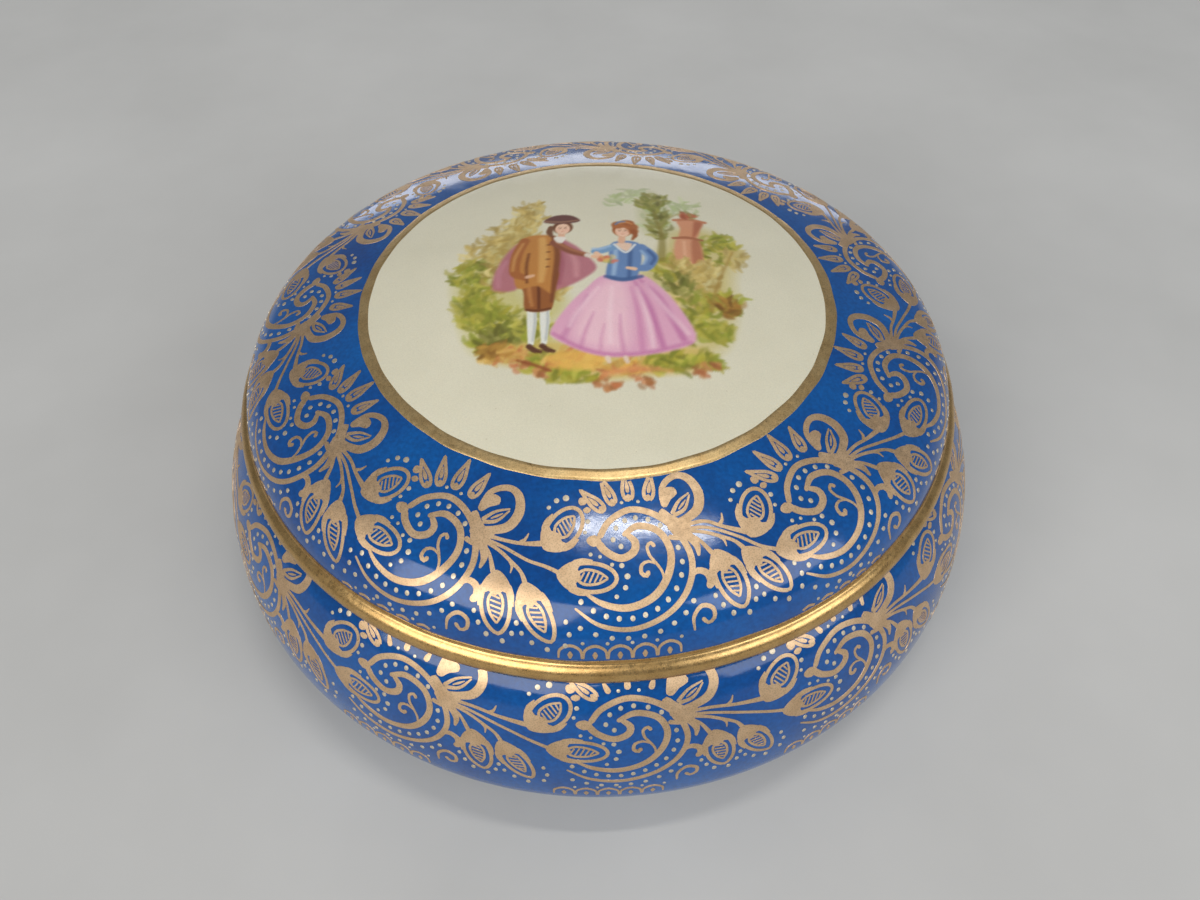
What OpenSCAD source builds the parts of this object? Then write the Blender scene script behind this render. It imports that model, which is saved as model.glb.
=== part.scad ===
// Round bombe trinket box in porcelain: a bowl on a foot ring and a lift-off domed lid.
// Cobalt blue ground and gilding lie over the white body as thin fired layers.
// Millimetres, +Z up, origin under the centre of the foot ring, on the table.

/* [Base] */
// Largest diameter, around the belly
belly_d = 110.6; // [107:0.2:114]
// Height of the widest point of the belly
belly_z = 12; // [11.5:0.1:13]
// Height where the shoulder would turn level, under the lid's rim
shoulder_z = 30; // [29.8:0.1:30.4]
// Diameter where the shoulder would turn level
shoulder_d = 88.2; // [87:0.2:89]
// Radius of the shoulder's tight curve
shoulder_r = 8; // [7:0.1:8.5]
// Radius of the tight curve under the belly
belly_r = 6.5; // [6:0.1:7]
// Wall thickness of the bowl
bowl_wall = 3.2; // [2.8:0.1:3.4]

/* [Foot] */
// Outer diameter of the foot ring
foot_d = 82.6; // [78:0.2:84]
// Height of the foot ring below the bowl's curve
foot_h = 3.2; // [2.5:0.1:3.6]
// Width of the foot ring
foot_w = 3.4; // [3:0.1:5]
// Depth of the hollow inside the foot ring
foot_hollow = 2.6; // [1.5:0.1:3]
// Radius of the foot ring's rounded lower edges
foot_edge_r = 0.8; // [0.4:0.1:1]

/* [Lid] */
// Height of the gilt rim's shining upper edge above the table
rim_z = 31.4; // [31.2:0.1:31.8]
// Diameter of the dome at its upright edge
lid_d = 96.6; // [96:0.1:97.4]
// Height of the dome's top above that edge
dome_h = 14.8; // [13.5:0.1:15.5]
// Radius of the dome's tight edge curve
edge_r = 8.3; // [7.8:0.1:8.6]
// Wall thickness of the lid
lid_wall = 3; // [2.8:0.1:3.2]
// Radius of the rounded bead along the lid's rim
bead_r = 1.6; // [1.5:0.05:1.7]
// How far the lid is lifted off its seat
lid_lift = 0; // [0:1:60]

/* [Flange] */
// Gap between the locating flange and the inside of the lid
flange_gap = 0.7; // [0.5:0.1:1]
// Thickness of the locating flange
flange_w = 2.5; // [2:0.1:3]
// Height of the locating flange above the seat
flange_h = 3.2; // [2.5:0.1:3.3]

/* [Decoration] */
// Diameter of the white picture panel on the lid
panel_d = 59.7; // [50:0.1:64]
// Width of the gilt ring around the panel
ring_w = 1.75; // [1:0.05:2.5]
// Height of the gilt ring above the glaze
ring_proud = 0.12; // [0.05:0.01:0.2]
// Angle up the dome's edge curve where the rim's gilding stops
rim_gilding_top = 10; // [8:1:25]
// Thickness of the fired colour and gilding
layer = 0.3; // [0.2:0.05:0.4]

/* [Hidden] */
$fn = 128;

// Degrees between the points of an outline's curves: the flat crown, the small roundings of
// the foot, flange and bead, and all others
crown_step = 1.5;
small_step = 15;
curve_step = 6;

// Centre of the bead's round section, which shines where it faces up and out
bead_c = [lid_d / 2 - 0.4, rim_z - bead_r * sin(45)];
seat_z = bead_c.y - bead_r;
lid_r = lid_d / 2;
foot_r = foot_d / 2;
panel_r = panel_d / 2;
ring_r = panel_r + ring_w;
flange_r = lid_r - lid_wall - flange_gap;

// Radius of the flat curve that closes a quarter oval of half axes p and q, where the tight
// curve of radius r sits at the end of q
function flat_r(p, q, r) = (p * p + q * q - 2 * q * r) / (2 * (p - r));

function reversed(points) = [for (i = [len(points) - 1:-1:0]) points[i]];

// Point of a circle around c at angle a
function on(c, r, a) = [c.x + r * cos(a), c.y + r * sin(a)];

// Angle from, then the whole steps on the way to angle to, which is left to whatever follows.
// Whole steps give layers that touch the same facets, wherever each one starts.
function stops(from, to, step) =
    let (
        low = min(from, to),
        high = max(from, to),
        between = [
            for (k = [ceil(low / step):floor(high / step)])
                if (k * step > low + step / 4 && k * step < high - step / 4) k * step
        ]
    )
    concat([from], from < to ? between : reversed(between));

// Points of an arc around c, without its last one
function arc(c, r, from, to, step = curve_step) = [for (a = stops(from, to, step)) on(c, r, a)];

// Angle, seen from c1, of the crossing of two circles that lies to the left of c1 to c2
function crossing(c1, r1, c2, r2) =
    let (d = norm(c2 - c1))
    atan2(c2.y - c1.y, c2.x - c1.x) + acos((r1 * r1 + d * d - r2 * r2) / (2 * d * r1));

// Upper quarter of the base's outline: a long side curve, then the tight shoulder
upper_c = [shoulder_d / 2, belly_z];
upper_a = belly_d / 2 - upper_c.x;
upper_b = shoulder_z - belly_z;
side_r = flat_r(upper_a, upper_b, shoulder_r);
side_c = [belly_d / 2 - side_r, belly_z];
shoulder_c = [upper_c.x, shoulder_z - shoulder_r];
side_end = atan2(shoulder_c.y - side_c.y, shoulder_c.x - side_c.x);

// Lower quarter: the tight belly, then the long curve that runs under to the foot
lower_a = belly_d / 2 - foot_r;
lower_b = belly_z - foot_h;
under_r = flat_r(lower_b, lower_a, belly_r);
under_c = [foot_r, foot_h + under_r];
belly_c = [belly_d / 2 - belly_r, belly_z];
under_end = atan2(belly_c.y - under_c.y, belly_c.x - under_c.x);

// Outline of the bowl from the foot up to height top, set in by inset
function bowl_side(inset, top) = concat(
    arc(under_c, under_r - inset, -90, under_end),
    arc(belly_c, belly_r - inset, under_end, 0),
    arc(side_c, side_r - inset, 0, side_end),
    arc(shoulder_c, shoulder_r - inset, side_end, shoulder_angle(inset, top)),
    [on(shoulder_c, shoulder_r - inset, shoulder_angle(inset, top))]
);
function shoulder_angle(inset, top) = asin(min(1, (top - shoulder_c.y) / (shoulder_r - inset)));

// Foot ring, from its inner side round to where it meets the bowl
foot_ring = concat(
    [[foot_r - foot_w, foot_hollow]],
    arc([foot_r - foot_w + foot_edge_r, foot_edge_r], foot_edge_r, 180, 270, small_step),
    [[foot_r - foot_w + foot_edge_r, 0]],
    arc([foot_r - foot_edge_r, foot_edge_r], foot_edge_r, 270, 360, small_step),
    [[foot_r, foot_edge_r]]
);

// Locating flange, from the seat over its rounded top and down inside
flange_top_c = [flange_r - flange_w / 2, seat_z + flange_h - flange_w / 2];
flange = concat(
    [[flange_r, seat_z]],
    arc(flange_top_c, flange_w / 2, 0, 180, small_step),
    [[flange_r - flange_w, flange_top_c.y]]
);

// Dome of the lid: a flat crown that runs into the tight edge curve
edge_c = [lid_r - edge_r, rim_z - 0.3];
crown_a = rim_z + dome_h - edge_c.y;
crown_r = (pow(edge_c.x, 2) + crown_a * crown_a - edge_r * edge_r) / (2 * (crown_a - edge_r));
crown_c = [0, rim_z + dome_h - crown_r];
crown_end = atan2(edge_c.y - crown_c.y, edge_c.x - crown_c.x);

// Angle on the crown, at depth inset, that lies radius r from the axis
function crown_angle(r, inset) = acos(r / (crown_r - inset));

// Outline of the dome from angle start on the crown to angle stop on its edge, set in by inset
function dome(inset, start, stop) = concat(
    arc(crown_c, crown_r - inset, start, crown_end, crown_step),
    arc(edge_c, edge_r - inset, crown_end, stop),
    [on(edge_c, edge_r - inset, stop)]
);

// Angles where the edge curve runs into the bead, seen from the one and from the other
function edge_stop(inset) = crossing(edge_c, edge_r - inset, bead_c, bead_r - inset);
function bead_start(inset) =
    let (p = on(edge_c, edge_r - inset, edge_stop(inset)))
    atan2(p.y - bead_c.y, p.x - bead_c.x);

// Outline of the bead from the dome's edge round to its underside, set in by inset
function bead(inset, stop) = concat(
    arc(bead_c, bead_r - inset, bead_start(inset), stop, small_step),
    [on(bead_c, bead_r - inset, stop)]
);

// A layer of a curved outline, turned about the axis
module turned_layer(outside, inside) {
    rotate_extrude() polygon(concat(outside, reversed(inside)));
}

// White porcelain bowl with its foot ring, its seat and the flange that centres the lid
module base_bowl() {
    color("ivory")
        rotate_extrude()
            polygon(concat(
                [[0, foot_hollow]],
                foot_ring,
                bowl_side(layer, seat_z),
                flange,
                reversed(bowl_side(bowl_wall, shoulder_z)),
                [[0, foot_h + bowl_wall]]
            ));
}

// Cobalt blue over the outside of the bowl, from the foot ring to the seat
module base_blue_ground() {
    color([0.01, 0.27, 0.66])
        turned_layer(bowl_side(0, seat_z), bowl_side(layer, seat_z));
}

// White porcelain lid, hollow underneath, with a flat rim that rests on the seat
module lid_shell() {
    inner_r = lid_r - lid_wall;
    color("ivory")
        translate([0, 0, lid_lift])
            rotate_extrude()
                polygon(concat(
                    dome(layer, 90, edge_stop(layer)),
                    bead(layer, -60),
                    [[bead_c.x, seat_z], [inner_r, seat_z]],
                    reversed(dome(lid_wall, 90, 0))
                ));
}

// Cobalt blue over the dome, from the gilt ring to the rim's gilding
module lid_blue_ground() {
    color([0.01, 0.27, 0.66])
        translate([0, 0, lid_lift])
            turned_layer(
                dome(0, crown_angle(ring_r, 0), rim_gilding_top),
                dome(layer, crown_angle(ring_r, layer), rim_gilding_top)
            );
}

// White glazed panel that carries the printed picture
module lid_picture_panel() {
    color([0.95, 0.94, 0.87])
        translate([0, 0, lid_lift])
            turned_layer(crown_strip(0, 0, panel_r), crown_strip(layer, 0, panel_r));
}

// Gilt ring between the panel and the blue
module lid_gilt_ring() {
    color("goldenrod")
        translate([0, 0, lid_lift])
            turned_layer(
                crown_strip(-ring_proud, panel_r, ring_r),
                crown_strip(layer, panel_r, ring_r)
            );
}

// Strip of the crown between two radii, set in by inset
function crown_strip(inset, inner, outer) = concat(
    arc(crown_c, crown_r - inset, crown_angle(inner, inset), crown_angle(outer, inset), crown_step),
    [on(crown_c, crown_r - inset, crown_angle(outer, inset))]
);

// Gilding over the hollow below the dome and round the bead
module lid_gilt_rim() {
    color("goldenrod")
        translate([0, 0, lid_lift])
            turned_layer(rim_skin(0), rim_skin(layer));
}

// Outline of the rim's gilding, set in by inset
function rim_skin(inset) = concat(
    arc(edge_c, edge_r - inset, rim_gilding_top, edge_stop(inset)),
    bead(inset, -60)
);

base_bowl();
base_blue_ground();
lid_shell();
lid_blue_ground();
lid_picture_panel();
lid_gilt_ring();
lid_gilt_rim();
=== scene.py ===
import math
import random

import bmesh
import bpy
import numpy as np
from mathutils import Matrix, Vector


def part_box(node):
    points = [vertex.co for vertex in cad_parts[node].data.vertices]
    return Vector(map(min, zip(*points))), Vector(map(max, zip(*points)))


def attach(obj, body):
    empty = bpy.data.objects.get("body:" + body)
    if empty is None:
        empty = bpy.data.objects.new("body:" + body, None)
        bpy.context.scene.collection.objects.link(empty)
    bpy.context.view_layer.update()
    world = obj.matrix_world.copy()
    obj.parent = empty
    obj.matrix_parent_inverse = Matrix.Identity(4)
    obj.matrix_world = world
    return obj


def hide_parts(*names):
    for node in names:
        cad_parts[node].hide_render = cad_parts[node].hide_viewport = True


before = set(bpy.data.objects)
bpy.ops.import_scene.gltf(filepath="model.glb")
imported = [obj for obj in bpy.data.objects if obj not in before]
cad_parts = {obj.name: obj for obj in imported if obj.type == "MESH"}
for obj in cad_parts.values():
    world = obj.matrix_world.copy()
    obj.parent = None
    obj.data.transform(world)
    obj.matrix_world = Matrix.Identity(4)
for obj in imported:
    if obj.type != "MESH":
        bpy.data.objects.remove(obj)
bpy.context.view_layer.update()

# A round porcelain trinket box: cobalt blue ground, gilt scrolls and a printed garden picture.
# Lengths are millimetres up to the point where a mesh is made, and metres from there on.
MM = 0.001
draw = random.Random(7)

# ---------------------------------------------------------------- sizes, from the frame
BEAD_R = 1.6
BEAD_LAP = 0.4
EDGE_R = 8.3
EDGE_RISE = 0.83
COVE_R = 0.5
LAYER = 0.3
LID_WALL = 3.0
SHOULDER_X = 44.1
SHOULDER_Z = 30.0
SHOULDER_R = 8.0
BELLY_R = 6.5
BELLY_Z = 12.0
BOWL_WALL = 3.2
FOOT_R = 41.3
FOOT_W = 3.4
FOOT_HOLLOW = 2.6
FLANGE_GAP = 0.7
FLANGE_W = 2.5
FLANGE_H = 3.2
SEGMENTS = 256


def low(node):
    """Lowest corner of a CAD node, in mm."""
    return [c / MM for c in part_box(node)[0]]


def high(node):
    """Highest corner of a CAD node, in mm."""
    return [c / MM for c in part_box(node)[1]]


dome_top = high("lid_picture_panel")[2]
panel_r = high("lid_picture_panel")[0]
ring_r = high("lid_gilt_ring")[0]
bead_x = high("lid_gilt_rim")[0] - BEAD_R
seat_z = low("lid_shell")[2]
bead_z = seat_z + BEAD_R
lid_r = bead_x + BEAD_LAP
belly_x = high("base_blue_ground")[0]
foot_h = low("base_blue_ground")[2]
rim_z = bead_z + BEAD_R * math.sin(math.radians(45))
rim_r = bead_x + BEAD_R * math.cos(math.radians(45))


# ---------------------------------------------------------------- outlines
class Outline:
    """Arcs joined end to end and turned about the axis; s runs along them from the top, in mm.

    Each arc is (centre r, centre z, radius, first angle, last angle), and a negative radius
    marks a hollow curve.
    """

    STEP = 0.02

    def __init__(self, arcs, inset=0.0):
        rows, starts = [], []
        for cr, cz, radius, first, last in arcs:
            starts.append(len(rows))
            side = math.copysign(1, radius)
            count = max(3, int(abs(radius * (last - first)) / self.STEP))
            angles = list(np.linspace(first, last, count, endpoint=False))
            if len(starts) == len(arcs):
                angles.append(last)
            for a in angles:
                rows.append((cr + abs(radius) * math.cos(a), cz + abs(radius) * math.sin(a),
                             side * math.cos(a), side * math.sin(a)))
        self.r, self.z, self.nr, self.nz = np.array(rows).T
        self.s = np.r_[0, np.cumsum(np.hypot(np.diff(self.r), np.diff(self.z)))]
        self.length = self.s[-1]
        self.joints = self.s[starts]
        self.inset = inset

    def at(self, s, lift=0.0):
        """(r, z) at length s, lifted off the surface."""
        r, z, nr, nz = (np.interp(s, self.s, v) for v in (self.r, self.z, self.nr, self.nz))
        lift = lift - self.inset
        return r + nr * lift, z + nz * lift

    def place(self, s, azimuth, lift):
        """Points in metres; azimuth 0 faces the front and grows to the right."""
        r, z = self.at(s, lift)
        a = azimuth - math.pi / 2
        return np.stack([r * np.cos(a), r * np.sin(a), z + 0 * a], -1) * MM

    def where_r(self, r):
        """Length s at which a part that only widens reaches radius r."""
        return float(np.interp(r, self.r[: self.r.argmax()], self.s[: self.r.argmax()]))


def flat_radius(p, q, r):
    """Radius of the flat curve that closes a quarter oval of half axes p and q."""
    return (p * p + q * q - 2 * q * r) / (2 * (p - r))


def lid_curves():
    """The dome's crown, edge, cove and bead, from the middle of the top to the seat."""
    edge = (lid_r - EDGE_R, bead_z + EDGE_RISE)
    rise = dome_top - edge[1]
    crown = (edge[0] ** 2 + rise ** 2 - EDGE_R ** 2) / (2 * (rise - EDGE_R))
    crown_z = dome_top - crown
    turn = math.atan2(edge[1] - crown_z, edge[0])
    # the cove touches the edge curve and the bead from outside
    a, b = EDGE_R + COVE_R, BEAD_R + COVE_R
    dx, dz = bead_x - edge[0], bead_z - edge[1]
    d = math.hypot(dx, dz)
    swing = math.atan2(dz, dx) + math.acos((a * a + d * d - b * b) / (2 * d * a))
    cove = (edge[0] + a * math.cos(swing), edge[1] + a * math.sin(swing))
    down = math.atan2(bead_z - cove[1], bead_x - cove[0])
    return [
        (0, crown_z, crown, math.pi / 2, turn),
        (*edge, EDGE_R, turn, swing),
        (*cove, -COVE_R, swing - math.pi, down),
        (bead_x, bead_z, BEAD_R, down + math.pi, -math.pi / 2),
    ]


def base_curves():
    """Shoulder, side, belly and underside of the bowl, from the seat down to the foot."""
    side_r = flat_radius(belly_x - SHOULDER_X, SHOULDER_Z - BELLY_Z, SHOULDER_R)
    under_r = flat_radius(BELLY_Z - foot_h, belly_x - FOOT_R, BELLY_R)
    shoulder = (SHOULDER_X, SHOULDER_Z - SHOULDER_R)
    side = (belly_x - side_r, BELLY_Z)
    belly = (belly_x - BELLY_R, BELLY_Z)
    under = (FOOT_R, foot_h + under_r)
    first = math.asin((seat_z - shoulder[1]) / SHOULDER_R)
    turn = math.atan2(shoulder[1] - side[1], shoulder[0] - side[0])
    lower = math.atan2(belly[1] - under[1], belly[0] - under[0])
    return [
        (*shoulder, SHOULDER_R, first, turn),
        (*side, side_r, turn, 0),
        (*belly, BELLY_R, 0, lower),
        (*under, under_r, lower, -math.pi / 2),
    ]


lid_line = Outline(lid_curves())
base_line = Outline(base_curves(), inset=0.06)
ring_s = lid_line.where_r(ring_r)
panel_s = lid_line.where_r(panel_r)
gild_s = lid_line.joints[2] - 0.4  # the gilding of the rim starts just above the cove


# ---------------------------------------------------------------- mesh building
def make_piece(name, points, faces, body, slot, material, nodes=(), sharp=40):
    """A smooth-shaded mesh piece that rides on a body; its corners above sharp degrees stay."""
    mesh = bpy.data.meshes.new(name)
    mesh.from_pydata([tuple(p) for p in points], [], [tuple(f) for f in faces])
    mesh.materials.append(material)
    edit = bmesh.new()
    edit.from_mesh(mesh)
    bmesh.ops.recalc_face_normals(edit, faces=edit.faces)
    edit.to_mesh(mesh)
    edit.free()
    mesh.polygons.foreach_set("use_smooth", [True] * len(mesh.polygons))
    mesh.set_sharp_from_angle(angle=math.radians(sharp))
    piece = bpy.data.objects.new(name, mesh)
    bpy.context.scene.collection.objects.link(piece)
    if body:
        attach(piece, body)
    if nodes:
        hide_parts(*nodes)
    return piece


def turned(line, segments=SEGMENTS):
    """(points, faces) of an outline of (r, z) turned about the axis; it closes on itself unless
    both ends lie on the axis."""
    points, rings = [], []
    angles = np.linspace(0, 2 * math.pi, segments, endpoint=False)
    for r, z in line:
        if r < 1e-6:
            rings.append([len(points)] * segments)
            points.append((0, 0, z * MM))
            continue
        rings.append(list(range(len(points), len(points) + segments)))
        points += [(r * MM * math.cos(a), r * MM * math.sin(a), z * MM) for a in angles]
    pairs = list(zip(rings, rings[1:]))
    if line[0][0] > 1e-6:
        pairs.append((rings[-1], rings[0]))
    faces = []
    for upper, lower in pairs:
        for i in range(segments):
            j = (i + 1) % segments
            face = [upper[i], upper[j], lower[j], lower[i]]
            faces.append([v for k, v in enumerate(face) if v not in face[:k]])
    return points, faces


def skin(outline, first, last, top, bottom, steps, segments=SEGMENTS):
    """(points, faces) of a closed layer on an outline from length first to last, which may be
    arrays with one value for each segment. It rises from bottom to top with a soft edge."""
    azimuth = np.linspace(0, 2 * math.pi, segments, endpoint=False)
    first = np.broadcast_to(first, segments)
    last = np.broadcast_to(last, segments)
    shares = np.r_[0, np.linspace(0, 1, steps + 1), 1]
    lifts = np.full(len(shares), float(top))
    lifts[[0, -1]] = bottom
    if steps > 3:
        lifts[[1, -2]] = bottom + 0.6 * (top - bottom)
    rows = [outline.place(first + (last - first) * t, azimuth, h) for t, h in zip(shares, lifts)]
    rows += [
        outline.place(first + (last - first) * t, azimuth, bottom)
        for t in np.linspace(1, 0, steps + 1)[1:-1]
    ]
    points = np.concatenate(rows)
    faces = []
    for k in range(len(rows)):
        a, b = k * segments, (k + 1) % len(rows) * segments
        for i in range(segments):
            j = (i + 1) % segments
            faces.append((a + i, a + j, b + j, b + i))
    return points, faces


def wave(azimuth, terms, seed):
    """A slow wobble round the axis, between about -1 and 1."""
    turns = random.Random(seed)
    total = 0
    for k in terms:
        total = total + math.sqrt(2 / len(terms)) * np.sin(k * azimuth + turns.uniform(0, 6.28))
    return total


# ---------------------------------------------------------------- materials
def feed(tree, socket, value):
    """Links another socket into a socket, or sets it to a plain value."""
    if isinstance(value, bpy.types.NodeSocket):
        tree.links.new(value, socket)
    else:
        socket.default_value = value


def add(tree, kind, inputs=None, **settings):
    """A shader node with its settings and inputs; an input is a value or another socket."""
    made = tree.nodes.new(kind)
    for key, value in settings.items():
        setattr(made, key, value)
    for key, value in (inputs or {}).items():
        feed(tree, made.inputs[key], value)
    return made


def new_material(name, inputs, **settings):
    """(material, tree, shader) with one Principled shader."""
    material = bpy.data.materials.new(name)
    material.use_nodes = True
    tree = material.node_tree
    tree.nodes.clear()
    shader = add(tree, "ShaderNodeBsdfPrincipled", inputs, **settings)
    output = add(tree, "ShaderNodeOutputMaterial")
    tree.links.new(shader.outputs[0], output.inputs["Surface"])
    return material, tree, shader


def noise(tree, size, detail=3.0, rough=0.55, distort=0.0):
    """Noise in the object's own space, with features of about size mm."""
    where = add(tree, "ShaderNodeTexCoord").outputs["Object"]
    made = add(tree, "ShaderNodeTexNoise", {
        "Vector": where, "Scale": 1 / (size * MM), "Detail": detail, "Roughness": rough,
        "Distortion": distort,
    })
    return made.outputs["Fac"]


def ramp(tree, value, stops):
    """A colour ramp; stops are (position, grey or colour)."""
    made = add(tree, "ShaderNodeValToRGB", {"Fac": value})
    ends = made.color_ramp.elements
    while len(ends) < len(stops):
        ends.new(0.5)
    for end, (position, colour) in zip(ends, stops):
        end.position = position
        end.color = (colour,) * 3 + (1,) if isinstance(colour, (int, float)) else (*colour, 1)
    return made.outputs["Color"]


def cloudy(tree, size, detail, stops):
    """A colour ramp over noise with features of about size mm."""
    return ramp(tree, noise(tree, size, detail), stops)


def mix(tree, share, a, b, blend="MIX"):
    """Colour a towards colour b by share."""
    made = add(tree, "ShaderNodeMix", data_type="RGBA", blend_type=blend)
    for key, value in ((0, share), (6, a), (7, b)):
        feed(tree, made.inputs[key], (*value, 1) if isinstance(value, tuple) else value)
    return made.outputs[2]


def bump(tree, shader, layers):
    """Stacked bumps; layers are (height socket, height in mm)."""
    normal = None
    for height, depth in layers:
        inputs = {"Height": height, "Distance": depth * MM, "Strength": 1.0}
        if normal:
            inputs["Normal"] = normal
        normal = add(tree, "ShaderNodeBump", inputs).outputs["Normal"]
    tree.links.new(normal, shader.inputs["Normal"])
    if shader.inputs["Coat Weight"].default_value:
        tree.links.new(normal, shader.inputs["Coat Normal"])


def link(tree, value, shader, socket):
    """Drives a shader socket from a node."""
    tree.links.new(value, shader.inputs[socket])


def cobalt_material():
    """Deep blue fired ground under a clear glaze, a little uneven in strength."""
    material, tree, shader = new_material("cobalt_glaze", {
        "IOR": 1.45, "Coat Weight": 0.1, "Coat Roughness": 0.04, "Coat IOR": 1.5,
    })
    cloud = cloudy(tree, 14, 4, [(0.3, (0.0006, 0.050, 0.225)), (0.7, (0.0009, 0.092, 0.335))])
    grain = cloudy(tree, 0.5, 2, [(0.35, 0.82), (0.7, 1.1)])
    link(tree, mix(tree, 1.0, cloud, grain, "MULTIPLY"), shader, "Base Color")
    link(tree, cloudy(tree, 3, 3, [(0.3, 0.07), (0.75, 0.16)]), shader, "Roughness")
    bump(tree, shader, [(noise(tree, 5, 1), 0.035), (noise(tree, 0.7, 2), 0.004)])
    return material


def porcelain_material(name, colour, shade):
    """White body under clear gloss glaze, with a faint warm cloud and a few dark specks."""
    material, tree, shader = new_material(name, {
        "IOR": 1.5, "Coat Weight": 0.4, "Coat Roughness": 0.05, "Coat IOR": 1.5,
        "Subsurface Weight": 0.12, "Subsurface Radius": (0.9, 0.7, 0.5), "Subsurface Scale": 0.0012,
    })
    cloud = cloudy(tree, 16, 3, [(0.3, colour), (0.75, shade)])
    specks = cloudy(tree, 0.45, 1, [(0.78, 0.0), (0.84, 0.55)])
    link(tree, mix(tree, specks, cloud, tuple(0.55 * c for c in shade)), shader, "Base Color")
    link(tree, cloudy(tree, 4, 3, [(0.3, 0.08), (0.8, 0.17)]), shader, "Roughness")
    bump(tree, shader, [(noise(tree, 6, 1), 0.03), (noise(tree, 0.8, 2), 0.003)])
    return material


def bisque_material():
    """Bare fired body on the underside of the foot ring, matt and a little soiled."""
    material, tree, shader = new_material("bare_foot", {"IOR": 1.5})
    colour = cloudy(tree, 2.5, 5, [(0.35, (0.62, 0.57, 0.47)), (0.7, (0.78, 0.74, 0.64))])
    link(tree, colour, shader, "Base Color")
    link(tree, cloudy(tree, 1, 3, [(0.3, 0.6), (0.7, 0.85)]), shader, "Roughness")
    bump(tree, shader, [(noise(tree, 0.3, 4), 0.03)])
    return material


def gilt_material(name, bright, dull, rough, worn):
    """Fired gold: cloudy colour, soft gloss, and brown worn spots over the share worn."""
    material, tree, shader = new_material(name, {"Metallic": 1.0, "IOR": 1.5})
    cloud = cloudy(tree, 2.2, 4, [(0.3, dull), (0.68, bright)])
    stipple = cloudy(tree, 0.15, 1, [(0.34, 0.76), (0.52, 1.0)])
    cloud = mix(tree, 1.0, cloud, stipple, "MULTIPLY")
    wear = ramp(tree, noise(tree, 0.9, 6, 0.7, 0.6), [(0.66 - 0.16 * worn, 0.0),
                                                      (0.74 - 0.12 * worn, 0.75)])
    link(tree, mix(tree, wear, cloud, (0.20, 0.105, 0.035)), shader, "Base Color")
    gloss = cloudy(tree, 0.6, 4, [(0.3, rough), (0.8, rough + 0.16)])
    link(tree, gloss, shader, "Roughness")
    bump(tree, shader, [(noise(tree, 2.5, 1), 0.010), (noise(tree, 0.22, 3), 0.005)])
    return material


def picture_material():
    """Overglaze colours printed on white: the painted points, broken into fine grain."""
    material, tree, shader = new_material("picture_panel", {
        "IOR": 1.5, "Coat Weight": 0.2, "Coat Roughness": 0.06, "Coat IOR": 1.5,
        "Subsurface Weight": 0.08, "Subsurface Radius": (0.9, 0.7, 0.5), "Subsurface Scale": 0.0008,
    })
    paint = add(tree, "ShaderNodeAttribute", attribute_name="picture").outputs["Color"]
    cloud = cloudy(tree, 12, 4, [(0.3, (0.93, 0.93, 0.92)), (0.7, (1.0, 1.0, 1.0))])
    grain = cloudy(tree, 0.16, 2, [(0.3, 0.93), (0.7, 1.03)])
    colour = mix(tree, 1.0, mix(tree, 1.0, paint, cloud, "MULTIPLY"), grain, "MULTIPLY")
    specks = cloudy(tree, 0.5, 1, [(0.79, 0.0), (0.84, 0.4)])
    link(tree, mix(tree, specks, colour, (0.34, 0.26, 0.16)), shader, "Base Color")
    link(tree, cloudy(tree, 2.5, 4, [(0.3, 0.14), (0.8, 0.26)]), shader, "Roughness")
    bump(tree, shader, [(noise(tree, 5, 1), 0.02), (noise(tree, 0.35, 2), 0.003)])
    return material


COBALT = cobalt_material()
PICTURE = picture_material()
PORCELAIN = porcelain_material("porcelain", (0.74, 0.72, 0.65), (0.70, 0.67, 0.58))
BISQUE = bisque_material()
GILT_RING = gilt_material("gilt_ring", (0.88, 0.63, 0.30), (0.72, 0.48, 0.21), 0.30, 0.28)
# Painted shade: the rim's gilt is a darker copy of the gilt, its colour darkened to stand in for the shade
# on the rounded bead.
GILT_RIM_PAINTED_SHADE = gilt_material("gilt_rim", (0.68, 0.44, 0.18), (0.52, 0.32, 0.12), 0.22, 0.3)
GILT_SCROLL = gilt_material("gilt_scroll", (0.78, 0.56, 0.35), (0.64, 0.44, 0.26), 0.42, 0.12)
GILT_DOT = gilt_material("gilt_dot", (0.80, 0.71, 0.56), (0.68, 0.58, 0.43), 0.44, 0.0)


# ---------------------------------------------------------------- the porcelain body
def arc_points(cr, cz, radius, first, last, count):
    """(r, z) points of an arc, angles in degrees."""
    return [
        (cr + radius * math.cos(math.radians(a)), cz + radius * math.sin(math.radians(a)))
        for a in np.linspace(first, last, count)
    ]


def along(outline, first, last, lift, step):
    """(r, z) points every step mm of an outline, from length first to last."""
    count = max(2, int(abs(last - first) / step) + 1)
    r, z = outline.at(np.linspace(first, last, count), lift)
    return list(zip(r.tolist(), z.tolist()))


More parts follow.
